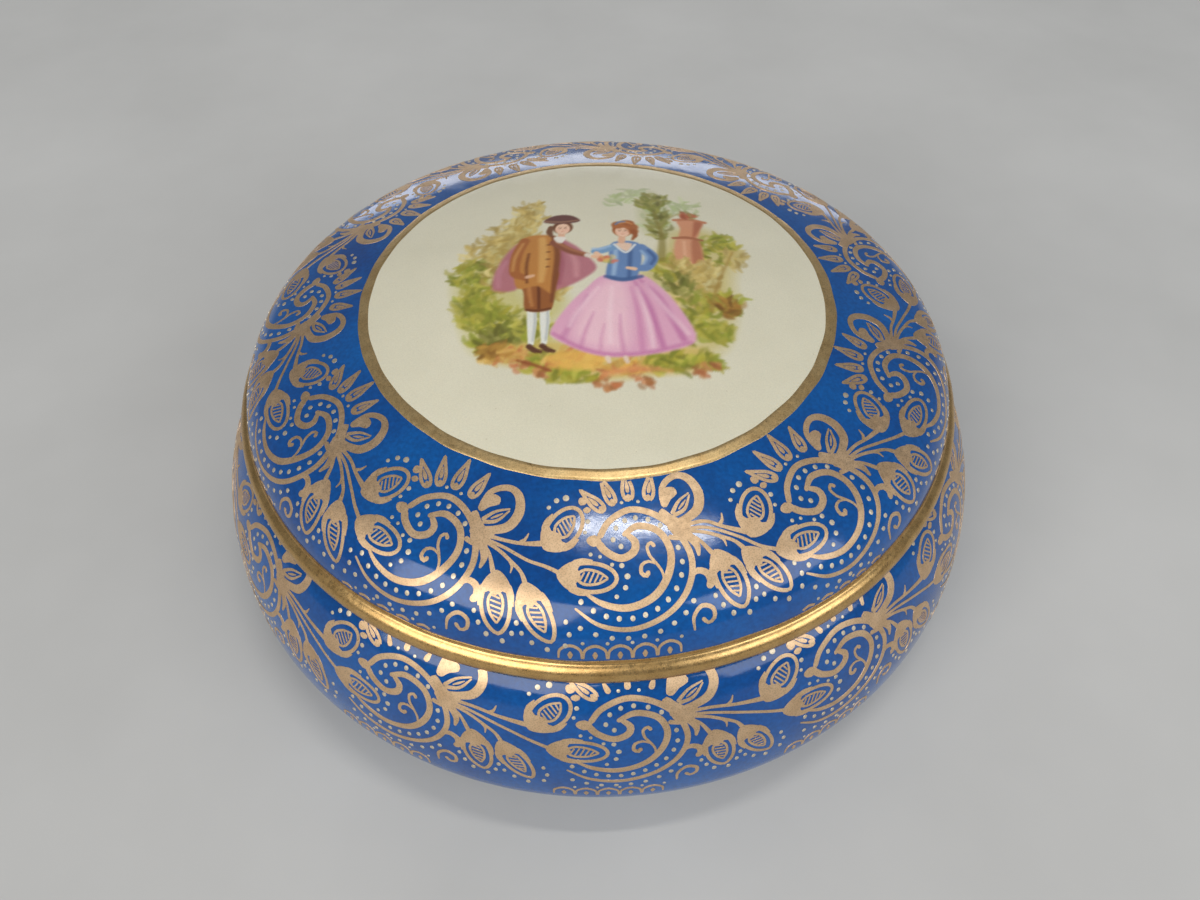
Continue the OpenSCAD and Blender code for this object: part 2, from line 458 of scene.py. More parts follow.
def base_bowl():
    """White bowl: foot ring, belly, seat, flange and the round inside."""
    flange_r = lid_r - LID_WALL - FLANGE_GAP
    top_z = seat_z + FLANGE_H - FLANGE_W / 2
    inner_foot = FOOT_R - FOOT_W
    floor = foot_h + BOWL_WALL
    bare_z = 0.35
    outside = along(base_line, base_line.length, 0, -LAYER, 1.0)
    inside = along(base_line, 0.4, base_line.length, -BOWL_WALL, 1.0)
    line = [(0, FOOT_HOLLOW)]
    line += arc_points(inner_foot - 1, FOOT_HOLLOW - 1, 1, 90, 0, 6)
    line += arc_points(inner_foot + 0.8, 0.8, 0.8, 180, 270, 6)
    line += arc_points(FOOT_R - 0.8, 0.8, 0.8, 270, 360, 6)
    line += arc_points(FOOT_R + 0.7, foot_h - 0.2, 0.7, 180, 120, 5)
    line += outside
    line += arc_points(flange_r + 0.4, seat_z + 0.4, 0.4, 270, 180, 5)
    line += arc_points(flange_r - FLANGE_W / 2, top_z, FLANGE_W / 2, 0, 180, 14)
    line += arc_points(flange_r - FLANGE_W - 1.2, inside[0][1] + 1.2, 1.2, 0, -60, 6)
    line += inside
    line += [(0, floor)]
    piece = make_piece("base_bowl_porcelain", *turned(line), "base", "porcelain", PORCELAIN, ["base_bowl"])
    piece.data.materials.append(BISQUE)
    for face in piece.data.polygons:
        if face.center.z < bare_z * MM:
            face.material_index = 1


def lid_shell():
    """White lid, hollow underneath, with a flat glazed rim that sits on the bowl."""
    inner = lid_r - LID_WALL
    inside = along(lid_line, 0, lid_line.length, -LID_WALL, 1.0)
    inside = [p for p in inside if p[0] < inner - 0.05 and p[1] > bead_z + EDGE_RISE]
    line = [(0, dome_top - LAYER)]
    line += along(lid_line, 1.0, lid_line.length, -LAYER, 0.8)
    line += [(inner + 0.5, seat_z)]
    line += arc_points(inner + 0.5, seat_z + 0.5, 0.5, 270, 180, 5)
    line += inside[:0:-1]
    line += [(0, dome_top - LID_WALL)]
    make_piece("lid_shell_porcelain", *turned(line), "lid", "porcelain", PORCELAIN, ["lid_shell"])


def coloured_layers():
    """The blue grounds, the gilt ring round the picture and the gilding of the rim."""
    azimuth = np.linspace(0, 2 * math.pi, SEGMENTS, endpoint=False)
    layer = skin(lid_line, panel_s + 0.7, gild_s + 0.4, 0, -LAYER, 60)
    make_piece("lid_cobalt_ground", *layer, "lid", "cobalt_glaze", COBALT, ["lid_blue_ground"])
    layer = skin(base_line, 0, base_line.length, 0, -LAYER, 70)
    make_piece("base_cobalt_ground", *layer, "base", "cobalt_glaze", COBALT, ["base_blue_ground"])
    inner = panel_s + 0.05 * wave(azimuth, (3, 7, 16, 29), 1)
    outer = ring_s + 0.06 * wave(azimuth, (2, 5, 19, 31), 2)
    layer = skin(lid_line, inner, outer, 0.07, -LAYER, 6)
    make_piece("gilt_ring", *layer, "lid", "gilding", GILT_RING, ["lid_gilt_ring"])
    brushed = gild_s + 0.12 * wave(azimuth, (1, 4, 9, 23, 37), 3)
    layer = skin(lid_line, brushed, lid_line.length - 0.4, 0.05, -LAYER, 44)
    # The rim gilding takes the darker gilt, whose colour carries painted shade.
    make_piece("gilt_rim", *layer, "lid", "gilding", GILT_RIM_PAINTED_SHADE, ["lid_gilt_rim"])


# ---------------------------------------------------------------- gilt scrolls
# The repeat is drawn flat: x in degrees round the lid, y in mm down from the gilt ring. The base
# carries the same repeat, a little narrower, with its top cut off by the seat.
DEGREE = 0.7  # mm in a degree, about the middle of the lid's band
RELIEF = 0.035  # height of the gilding over the glaze
SHOULDER = 0.9 * RELIEF  # height just inside its edges
SUNK = 0.05  # how far its sides reach below the glaze
BROAD = 1.04  # every stroke is this much wider than drawn
PLUMP = 1.12  # and every dot
RIBBON = ((-1, -SUNK), (-0.93, SHOULDER), (0, RELIEF), (0.93, SHOULDER), (1, -SUNK))
LEAF = ((1, -SUNK), (0.98, SHOULDER), (0.66, RELIEF), (0.33, RELIEF), (0, RELIEF))
DOT = ((1, -SUNK), (0.9, SHOULDER), (0.5, 1.3 * RELIEF))


def smooth(points, closed=False, step=0.35, across=DEGREE):
    """Catmull-Rom curve through given points, sampled about every step mm, with the place
    of each sample in the list of points; across is the length of a unit of x in mm."""
    p = np.array(points, float)
    if closed:
        p = np.vstack([p[-1], p, p[0], p[1]])
    else:
        p = np.vstack([2 * p[0] - p[1], p, 2 * p[-1] - p[-2]])
    out, marks = [], []
    for i in range(1, len(p) - 2):
        a, b, c, d = p[i - 1:i + 3]
        count = max(2, int(math.hypot((c[0] - b[0]) * across, c[1] - b[1]) / step + 0.5))
        t = np.linspace(0, 1, count, endpoint=False)[:, None]
        out.append(0.5 * (2 * b + (c - a) * t + (2 * a - 5 * b + 4 * c - d) * t ** 2
                          + (3 * b - a - 3 * c + d) * t ** 3))
        marks.append(i - 1 + t[:, 0])
    if not closed:
        out.append(p[-2:-1])
        marks.append([len(p) - 3])
    return np.concatenate(out), np.concatenate(marks)


class Band:
    """Where a repeat lies on the box: an outline, the s of y = 0, and a stretch along x and y."""

    def __init__(self, outline, start, stretch, rise, first, last):
        self.outline, self.start, self.stretch, self.rise = outline, start, stretch, rise
        self.first, self.last = first, last

    def s(self, y):
        return self.start + np.asarray(y) * self.rise

    def holds(self, y):
        return self.first < self.s(y) < self.last

    def turn(self, x):
        return np.radians(np.asarray(x) * self.stretch)


class Scrolls:
    """Collects raised strokes and dots on a band as closed little solids."""

    def __init__(self, band):
        self.band = band
        self.at = (0, 0)  # (x, y) of the repeat being drawn
        self.points, self.faces, self.count = [], [], 0

    def stroke(self, points, widths, closed=False):
        """A ribbon of varying width in mm along a smooth curve."""
        path, marks = smooth(points, closed)
        end = len(points) if closed else marks[-1]
        width = BROAD * np.interp(marks, np.linspace(0, end, len(widths)), widths)
        path = path + np.array(self.at)
        s, turn = self.band.s(path[:, 1]), self.band.turn(path[:, 0])
        if not closed:
            s, turn, width = self._round_ends(s, turn, width)
        r, _ = self.band.outline.at(s)
        slope = self._differ(s, closed), self._differ(turn, closed) * r
        length = np.maximum(np.hypot(*slope), 1e-9)
        side_s, side_turn = slope[1] / length * width / 2, -slope[0] / length * width / 2 / r
        inside = (s > self.band.first) & (s < self.band.last)
        for i in np.split(np.arange(len(s)), np.flatnonzero(np.diff(inside.astype(int))) + 1):
            if len(i) < 3 or not inside[i[0]]:
                continue
            rows = []
            for side, lift in RIBBON:
                edge = np.clip(s[i] + side * side_s[i], self.band.first, self.band.last)
                rows.append(self.band.outline.place(edge, turn[i] + side * side_turn[i], lift))
            self._tube(rows, closed and len(i) == len(s))

    def _differ(self, values, closed):
        """Differences along a path, which may close on itself."""
        return np.roll(values, -1) - np.roll(values, 1) if closed else np.gradient(values)

    def _round_ends(self, s, turn, width):
        """Adds samples near both ends of a path and rounds its width off there."""
        r, _ = self.band.outline.at(s)
        run = np.r_[0, np.cumsum(np.hypot(np.diff(turn) * r[1:], np.diff(s)))]
        extra = [run[-1] * t for t in (0, 1)]
        for share in (0.1, 0.4, 1):
            extra += [share * width[0] / 2, run[-1] - share * width[-1] / 2]
        inner = run[(run > 0.6 * width[0]) & (run < run[-1] - 0.6 * width[-1])]
        spots = np.unique(np.clip(np.concatenate([extra, inner]), 0, run[-1]).round(4))
        s, turn, width = (np.interp(spots, run, v) for v in (s, turn, width))
        for gap in (spots, spots[-1] - spots):
            near = np.clip(gap / np.maximum(width / 2, 1e-3), 0, 1)
            width = width * np.sqrt(np.clip(1 - (1 - near) ** 2, 0.02, 1))
        return s, turn, width

    def _tube(self, rows, whole):
        n, m = len(rows[0]), len(rows)
        base = self.count
        self.points.append(np.stack(rows, 1).reshape(-1, 3))
        self.count += n * m
        for k in range(n if whole else n - 1):
            a, b = base + k * m, base + (k + 1) % n * m
            self.faces += [(a + j, a + (j + 1) % m, b + (j + 1) % m, b + j) for j in range(m)]
        if not whole:
            self.faces.append(tuple(base + j for j in range(m)))
            self.faces.append(tuple(base + (n - 1) * m + j for j in reversed(range(m))))

    def blob(self, points):
        """A filled raised shape with a smooth outline through points."""
        path, _ = smooth(points, closed=True, step=0.45)
        path = path + np.array(self.at)
        middle = path.mean(0)
        rows = []
        for share, lift in LEAF:
            x, y = (middle + (path - middle) * share).T
            rows.append(self.band.outline.place(self.band.s(y), self.band.turn(x), lift))
        s = self.band.s(path[:, 1])
        if s.min() < self.band.first or s.max() > self.band.last:
            return
        n, base = len(path), self.count
        self.points += rows[:-1] + [rows[-1][:1]]
        self.count += 4 * n + 1
        for j in range(n):
            i = (j + 1) % n
            self.faces += [(base + k * n + j, base + k * n + i, base + (k + 1) * n + i,
                            base + (k + 1) * n + j) for k in range(3)]
            self.faces.append((base + 3 * n + j, base + 3 * n + i, base + 4 * n))
        self.faces.append(tuple(base + j for j in reversed(range(n))))

    def dot(self, x, y, radius, long=1.0, sides=10):
        """A domed dot, long times as tall as it is wide."""
        radius = radius * PLUMP
        s, turn = float(self.band.s(y + self.at[1])), float(self.band.turn(x + self.at[0]))
        if not self.band.first + radius < s < self.band.last - radius:
            return
        r = float(self.band.outline.at(s)[0])
        a = np.linspace(0, 2 * math.pi, sides, endpoint=False)
        rows = []
        for k, lift in DOT:
            down, across = radius * k * long * np.sin(a), radius * k * np.cos(a) / r
            rows.append(self.band.outline.place(s + down, turn + across, lift))
        base = self.count
        self.points.append(np.concatenate(rows))
        self.count += 3 * sides
        for k in range(2):
            for j in range(sides):
                i, n = base + k * sides + j, base + k * sides + (j + 1) % sides
                self.faces.append((i, n, n + sides, i + sides))
        self.faces.append(tuple(base + 2 * sides + j for j in range(sides)))
        self.faces.append(tuple(base + j for j in reversed(range(sides))))

    def piece(self, name, body, material, sharp=50):
        make_piece(name, np.concatenate(self.points), self.faces, body, "gilding", material, sharp=sharp)


def leaning(cx, cy, tilt, long=1.0, wide=1.0):
    """A function that gives the point p * long down and q * wide across an axis through
    (cx, cy) that leans tilt degrees from straight down."""
    t = math.radians(tilt)

    def spot(p, q):
        return (cx + (p * long * math.sin(t) + q * wide * math.cos(t)) / DEGREE,
                cy + p * long * math.cos(t) - q * wide * math.sin(t))

    return spot


def oval(cx, cy, along_mm, across_mm, tilt, count=12, point=0.0):
    """Points of an oval on a leaning axis; point sharpens its lower end."""
    spot = leaning(cx, cy, tilt)
    out = []
    for k in range(count):
        a = 2 * math.pi * k / count
        p = along_mm * math.cos(a) * (1 + point * max(0, math.cos(a)) ** 6)
        q = across_mm * math.sin(a) * (1 - point * 0.9 * max(0, math.cos(a)) ** 2)
        out.append(spot(p, q))
    return out


def petal(gold, base, tip, width):
    """A pointed petal: an outline, a solid root and a thin inner drop. Where the edge of the band
    cuts more than half of it away, only a drop is left."""
    (bx, by), (tx, ty) = base, tip
    ux, uy = (tx - bx) * DEGREE, ty - by
    length = math.hypot(ux, uy)
    ux, uy = ux / length, uy / length

    def spot(along_mm, aside):
        return bx + (along_mm * ux - aside * uy) / DEGREE, by + along_mm * uy + aside * ux

    half = width / 2 - 0.2
    if not gold.band.holds((by + ty) / 2 + gold.at[1]):
        gold.stroke([spot(length * t, 0) for t in (0.0, 0.2, 0.45)], [1.3 * half, half, 0.3 * half])
        return
    sides = [(0.05, 0.45), (0.2, 0.92), (0.42, 0.95), (0.7, 0.5), (0.92, 0.1)]
    outline = [spot(length * t, half * w) for t, w in sides]
    outline += [spot(length, 0)]
    outline += [spot(length * t, -half * w) for t, w in reversed(sides)]
    gold.stroke(outline, [0.42] * 3, closed=True)
    gold.stroke([spot(length * t, 0) for t in (0.0, 0.14, 0.22)], [1.5 * half, 1.1 * half, 0.4 * half])
    gold.stroke([spot(length * t, 0) for t in (0.26, 0.42, 0.66)], [0.34, 0.5, 0.12])


def bud(gold, cx, cy, long, wide, tilt, point=0.0):
    """A bud: a ring, a hatched kernel inside it and a solid cap over its upper end."""
    gold.stroke(oval(cx, cy, long, wide, tilt, 12, point), [0.46] * 3, closed=True)
    spot = leaning(cx, cy, tilt)
    kernel_l, kernel_w = long * 0.62, wide * 0.5
    for side in (-kernel_w, kernel_w):
        gold.stroke([spot(-kernel_l, 0), spot(-kernel_l * 0.35, side), spot(kernel_l * 0.5, side * 0.8),
                     spot(kernel_l * 1.1, 0)], [0.34, 0.32, 0.3, 0.24])
    for k in range(5):
        p = kernel_l * (-0.5 + 0.3 * k)
        half = kernel_w * (0.8 - 0.6 * (p / kernel_l) ** 2)
        gold.stroke([spot(p - 0.2, -half), spot(p, 0), spot(p + 0.2, half)], [0.2] * 2)


def cap(gold, cx, cy, long, wide, tilt):
    """A solid leafy cap over the upper end of the bud with the same middle, size and lean: a
    filled body with a lobe down each side and a point down the middle."""
    spot = leaning(cx, cy, tilt, long, wide)
    gold.blob([spot(-1.3, 0), spot(-1.12, 0.55), spot(-0.75, 1.02), spot(-0.4, 0.98), spot(-0.5, 0.5),
               spot(-0.34, 0), spot(-0.5, -0.5), spot(-0.4, -0.98), spot(-0.75, -1.02),
               spot(-1.12, -0.55)])
    for side in (-1, 1):
        gold.stroke([spot(-0.75, 0.85 * side), spot(-0.35, 1.12 * side), spot(0.05, 1.2 * side)],
                    [0.7, 0.6, 0.14])


def c_scroll(gold, pale):
    """The two bands of the C, the volute and knob at its left, and the dots between."""
    gold.stroke([(-5.4, 8.1), (-3.6, 6.2), (0.1, 5.0), (4.2, 5.8), (7.3, 8.0), (8.6, 11.2), (7.2, 14.3),
                 (3.9, 16.7), (-0.8, 18.0), (-5.2, 17.5), (-8.7, 15.7)],
                [0.7, 0.75, 0.75, 0.75, 0.75, 0.7, 0.66, 0.6, 0.5, 0.25])
    gold.stroke([(-7.9, 13.8), (-4.9, 15.2), (-1.4, 15.7), (2.3, 14.7), (4.8, 12.5), (5.7, 10.0),
                 (4.4, 7.8), (1.2, 6.95), (-1.5, 7.9)],
                [0.25, 0.65, 0.8, 0.85, 0.85, 0.8, 0.8, 0.8, 0.55])
    gold.stroke([(-5.6, 8.5), (-4.3, 9.6), (-2.0, 10.4), (0.0, 9.8), (0.4, 8.7), (-0.9, 7.7)],
                [0.9, 0.85, 0.85, 0.9, 0.85, 0.55])
    gold.stroke([(-7.4, 8.3), (-6.2, 8.4), (-5.0, 8.5)], [0.9, 1.35, 0.9])
    gold.stroke([(3.9, 13.2), (3.8, 12.2), (3.1, 11.2), (2.4, 10.4), (2.2, 9.4), (2.9, 9.0), (3.4, 9.5)],
                [0.2, 0.3, 0.32, 0.34, 0.36, 0.42, 0.5])
    gold.stroke([(3.2, 11.4), (2.1, 11.0), (1.0, 11.3), (0.8, 12.2), (1.5, 12.5), (1.9, 12.0)],
                [0.2, 0.32, 0.4, 0.46, 0.55, 0.5])
    for x, y in ((-3.1, 8.3), (-2.5, 7.0), (-0.9, 6.2), (1.0, 6.0), (3.1, 6.35), (5.0, 7.2), (-1.9, 9.1),
                 (7.0, 10.0), (7.1, 11.6), (6.5, 13.0), (5.4, 14.3), (4.0, 15.3), (2.4, 16.1),
                 (0.7, 16.6), (-1.0, 16.85), (-2.8, 16.8), (-4.5, 16.5), (-6.2, 15.9), (-7.9, 15.0)):
        pale.dot(x, y, 0.27, 1.15)
    for x, y in ((7.4, 15.9), (6.1, 17.0), (4.4, 17.9), (2.5, 18.6), (0.4, 18.95),
                 (-1.7, 19.05), (-3.8, 18.95), (-5.9, 18.5), (-7.9, 17.8)):
        pale.dot(x, y, 0.28)


def crest(gold, pale):
    """The fan of petals over the C and the curled leaf at its right shoulder."""
    petal(gold, (-4.3, 5.0), (-8.9, 2.6), 1.55)
    petal(gold, (-2.5, 4.35), (-5.0, 0.95), 1.6)
    petal(gold, (0.25, 4.0), (0.1, 0.15), 1.8)
    petal(gold, (3.7, 4.2), (5.3, 0.9), 1.7)
    gold.stroke([(-8.9, 3.5), (-8.3, 3.9), (-7.6, 4.0)], [0.8, 1.1, 0.8])
    gold.stroke([(-8.2, 4.9), (-7.5, 4.9), (-6.8, 4.8)], [0.5, 0.8, 0.5])
    for x, y in ((-1.15, 4.1), (1.9, 4.15)):
        pale.dot(x, y, 0.2)
    gold.stroke([(6.2, 4.6), (6.9, 3.0), (8.6, 2.1), (10.8, 1.9), (12.6, 2.7), (13.3, 4.4), (12.3, 6.1),
                 (10.2, 6.9), (7.8, 7.3)],
                [0.5, 0.7, 0.75, 0.8, 1.0, 1.15, 1.15, 1.0, 0.8])
    gold.blob([(5.9, 5.0), (6.2, 3.7), (7.6, 3.0), (9.2, 3.2), (9.4, 4.0), (8.0, 4.5), (6.8, 5.3)])
    gold.stroke([(7.4, 6.2), (9.2, 4.9), (11.6, 4.2)], [0.5, 0.34, 0.2])
    gold.stroke([(7.6, 6.4), (9.9, 5.9), (11.6, 4.4)], [0.5, 0.4, 0.2])
    gold.stroke([(8.8, 5.8), (9.7, 5.35), (10.6, 4.9)], [0.16, 0.3, 0.12])
    gold.blob([(4.9, 6.1), (5.9, 5.3), (7.0, 6.0), (8.4, 6.8), (10.4, 7.2), (9.6, 8.3), (8.0, 8.9),
               (6.8, 8.6), (6.1, 7.4)])
    gold.stroke([(6.2, 7.4), (8.5, 8.4), (9.9, 10.0), (9.8, 11.4)], [0.9, 1.1, 0.85, 0.3])
    gold.stroke([(5.9, 8.6), (6.9, 8.9), (7.8, 9.0)], [0.7, 0.5, 0.6])


def stems(gold, gap, reach):
    """Stems that leave the C at its right and carry the buds, each with a thorn or two; the two
    long ones end on the next repeat, which lies gap degrees farther and reach mm lower."""
    gold.stroke([(8.6, 7.7), (12.4, 7.8), (15.2 + 0.5 * gap, 8.4 + 0.4 * reach), (18.6 + gap, 9.0 + reach)],
                [0.5, 0.4, 0.42, 0.7])
    gold.stroke([(14.6, 8.2 + 0.3 * reach), (15.4, 7.8 + 0.3 * reach), (15.8, 7.0 + 0.3 * reach)],
                [0.5, 0.36, 0.14])
    gold.stroke([(8.8, 8.1), (12.6, 8.6), (16.6 + 0.5 * gap, 10.0 + 0.3 * reach),
                 (19.4 + 0.8 * gap, 11.2 + 0.8 * reach), (22.0 + gap, 12.2 + reach)],
                [0.44, 0.36, 0.36, 0.4, 0.5])
    gold.stroke([(8.8, 8.3), (11.8, 9.0), (14.2, 10.0), (15.9, 10.9), (16.9, 12.1)],
                [0.4, 0.4, 0.42, 0.4, 0.6])
    gold.stroke([(13.8, 9.8), (14.4, 10.4), (14.4, 11.2)], [0.45, 0.34, 0.12])
    gold.stroke([(9.2, 8.8), (10.6, 9.7), (12.0, 11.6)], [0.4, 0.38, 0.6])
    gold.stroke([(7.7, 13.4), (9.0, 12.9), (10.2, 13.4), (10.4, 14.4), (9.7, 14.9)],
                [0.3, 0.7, 0.8, 0.9, 0.8])
    gold.stroke([(7.0, 19.2), (7.1, 17.6), (8.4, 16.6), (9.8, 17.1), (9.8, 18.2), (8.9, 18.6), (8.2, 17.9)],
                [0.24, 0.42, 0.5, 0.5, 0.44, 0.4, 0.5])


def buds(gold, pale):
    """Two large buds at the left of the C and two that hang from the stems at its right."""
    for cx, cy, long, wide, tilt, point in (
        (-11.2, 7.0, 2.6, 1.8, 142, 0), (-6.7, 12.4, 2.7, 1.55, 86, 0),
        (13.3, 14.8, 2.9, 1.4, 10, 0.1), (19.0, 15.2, 2.9, 1.3, 27, 0.1),
    ):
        bud(gold, cx, cy, long, wide, tilt, point)
        cap(gold, cx, cy, long, wide, tilt)
    for x, y, r in ((-14.4, 4.9, 0.24), (-13.2, 4.0, 0.3), (-11.5, 3.6, 0.36), (-7.3, 6.2, 0.28),
                    (-7.7, 7.45, 0.22), (-6.7, 9.9, 0.22), (-5.25, 10.15, 0.2),
                    (-3.45, 11.05, 0.22), (-2.0, 11.2, 0.28), (-1.3, 12.4, 0.32), (-1.7, 13.6, 0.28),
                    (-3.0, 14.5, 0.24)):
        pale.dot(x, y, r)
    for x, y, r in ((10.5, 15.9, 0.24), (11.3, 17.1, 0.26), (12.5, 18.3, 0.28),
                    (14.7, 18.8, 0.28), (15.9, 17.6, 0.26), (16.4, 16.3, 0.26),
                    (17.2, 17.4, 0.24), (18.6, 18.4, 0.26), (20.6, 19.1, 0.28), (22.9, 18.4, 0.26),
                    (23.4, 17.0, 0.26), (22.9, 15.6, 0.24)):
        pale.dot(x, y, r, 1.2)


def fringe(gold, pale):
    """Scalloped arches that hang under the C, each with a drop inside, and dots between."""
    for k in range(5):
        x, y = -9.2 + 3.2 * k, 19.9
        gold.stroke([(x - 1.5, y + 1.9), (x - 1.3, y + 0.6), (x, y), (x + 1.3, y + 0.6),
                     (x + 1.5, y + 1.9)], [0.2, 0.34, 0.4, 0.34, 0.2])
        gold.stroke([(x, y + 0.8), (x, y + 1.3), (x, y + 1.9)], [0.2, 0.62, 0.2])
        pale.dot(x + 1.6, y - 0.3, 0.2)


def scroll_band(band, repeats, first_x, lifted, body, name):
    """All repeats of the scrolls round one part of the box; the first lies lifted mm higher."""
    gold, pale = Scrolls(band), Scrolls(band)
    pitch = 360 / repeats / band.stretch
    drops = [-lifted] + [draw.uniform(-0.15, 0.15) for _ in range(repeats - 1)]
    for k in range(repeats):
        gold.at = pale.at = (first_x / band.stretch + k * pitch, drops[k])
        c_scroll(gold, pale)
        crest(gold, pale)
        stems(gold, pitch - LID_PITCH, drops[(k + 1) % repeats] - drops[k])
        buds(gold, pale)
        fringe(gold, pale)
    gold.piece(name + "_gilt_scrolls", body, GILT_SCROLL)
    pale.piece(name + "_gilt_dots", body, GILT_DOT)


LID_REPEATS = 11
BASE_REPEATS = 12
LID_PITCH = 360 / LID_REPEATS
BASE_STRETCH = 0.86


def gilt_scrolls():
    """The same printed border on the lid's band and on the belly, where it is cut by the seat."""
    lid_band = Band(lid_line, ring_s, 1.0, 1.0, ring_s - 0.3, gild_s - 0.15)
    scroll_band(lid_band, LID_REPEATS, 5.3, 1.6, "lid", "lid")
    base_band = Band(base_line, -2.7, BASE_STRETCH, 0.98, 0.1, base_line.length - 1)
    scroll_band(base_band, BASE_REPEATS, 3.2, 0.0, "base", "base")


# ---------------------------------------------------------------- the picture on the lid
# Painted in mm from the middle of the panel, x to the right and y away from the viewer.
GRID = 300
PAPER = (218, 213, 190)


def disk_grid(radius):
    """(x, y) of a square grid bent into a disk with cells of one size."""
    b, a = np.meshgrid(np.linspace(-1, 1, GRID + 1), np.linspace(-1, 1, GRID + 1))
    wide = np.abs(a) > np.abs(b)
    r = np.where(wide, a, b) * radius
    share = np.where(wide, b, a) / np.where(wide, a, np.where(b == 0, 1, b)) * math.pi / 4
    x = np.where(wide, r * np.cos(share), r * np.sin(share))
    y = np.where(wide, r * np.sin(share), r * np.cos(share))
    return x.ravel(), y.ravel()


class Painting:
    """Colours of the grid's points, laid on as soft strokes and filled shapes."""

    def __init__(self, x, y):
        self.x, self.y = x, y
        self.colour = np.tile(np.array(PAPER, float), (len(x), 1))
        self.draw = random.Random(21)

    def _near(self, points, margin):
        low, high = points.min(0) - margin, points.max(0) + margin
        return np.flatnonzero((self.x > low[0]) & (self.x < high[0])
                              & (self.y > low[1]) & (self.y < high[1]))

    def _blend(self, which, share, colour):
        share = share[:, None]
        self.colour[which] = self.colour[which] * (1 - share) + np.array(colour) * share

    def stroke(self, points, widths, colour, strength=1.0, soft=0.25):
        """A brush stroke through points; widths are spread along it."""
        path, marks = smooth(points, step=0.3, across=1)
        width = np.interp(marks, np.linspace(0, marks[-1], len(widths)), widths) / 2
        which = self._near(path, width.max() + soft)
        away = np.full(len(which), np.inf)
        for (px, py), (qx, qy), w in zip(path, path[1:], (width[1:] + width[:-1]) / 2):
            dx, dy = qx - px, qy - py
            x, y = self.x[which] - px, self.y[which] - py
            t = np.clip((x * dx + y * dy) / max(dx * dx + dy * dy, 1e-9), 0, 1)
            away = np.minimum(away, np.hypot(x - t * dx, y - t * dy) - w)
        self._blend(which, np.clip(0.5 - away / soft, 0, 1) * strength, colour)

    def fill(self, points, colour, strength=1.0, soft=0.3):
        """A filled shape with a smooth outline through points."""
        path, _ = smooth(points, closed=True, step=0.6, across=1)
        which = self._near(path, soft)
        x, y = self.x[which], self.y[which]
        away = np.full(len(which), np.inf)
        inside = np.zeros(len(which), bool)
        for (px, py), (qx, qy) in zip(path, np.roll(path, -1, 0)):
            dx, dy = qx - px, qy - py
            t = np.clip(((x - px) * dx + (y - py) * dy) / max(dx * dx + dy * dy, 1e-9), 0, 1)
            away = np.minimum(away, np.hypot(x - px - t * dx, y - py - t * dy))
            crosses = (py > y) != (qy > y)
            inside ^= crosses & (x < px + (y - py) * dx / np.where(dy == 0, 1, dy))
        away = np.where(inside, -away, away)
        self._blend(which, np.clip(0.5 - away / soft, 0, 1) * strength, colour)

    def leaves(self, place, size, colours, count, length=1.8, lean=90, spread=70):
        """Many small leaf strokes scattered over an oval, denser in its middle."""
        for _ in range(count):
            turn, away = self.draw.uniform(0, 2 * math.pi), self.draw.random() ** 0.6
            x = place[0] + size[0] * away * math.cos(turn)
            y = place[1] + size[1] * away * math.sin(turn)
            long = length * self.draw.uniform(0.6, 1.2)
            a = math.radians(lean + self.draw.uniform(-spread, spread))
            shade = self.draw.uniform(0.88, 1.08)
            colour = [min(255, c * shade) for c in self.draw.choice(colours)]
            bend = self.draw.uniform(-0.3, 0.3) * long
            middle = (x + long / 2 * math.cos(a) - bend * math.sin(a),
                      y + long / 2 * math.sin(a) + bend * math.cos(a))
            self.stroke([(x, y), middle, (x + long * math.cos(a), y + long * math.sin(a))],
                        [0.3, 0.75, 0.2], colour, self.draw.uniform(0.45, 0.85), 0.35)


MOSS = [(150, 156, 58), (184, 176, 78), (126, 128, 48), (170, 160, 60)]
STRAW = [(206, 182, 110), (190, 164, 92), (214, 196, 132), (176, 150, 82)]
OLIVE = [(122, 126, 56), (142, 142, 66), (106, 104, 46), (156, 150, 84)]
BARK = [(140, 98, 44), (164, 118, 54), (118, 84, 38), (182, 140, 66)]
MIST = [(186, 196, 150), (196, 200, 160), (172, 184, 130)]
EARTH = [(214, 168, 84), (198, 148, 74), (222, 186, 104), (196, 118, 74)]


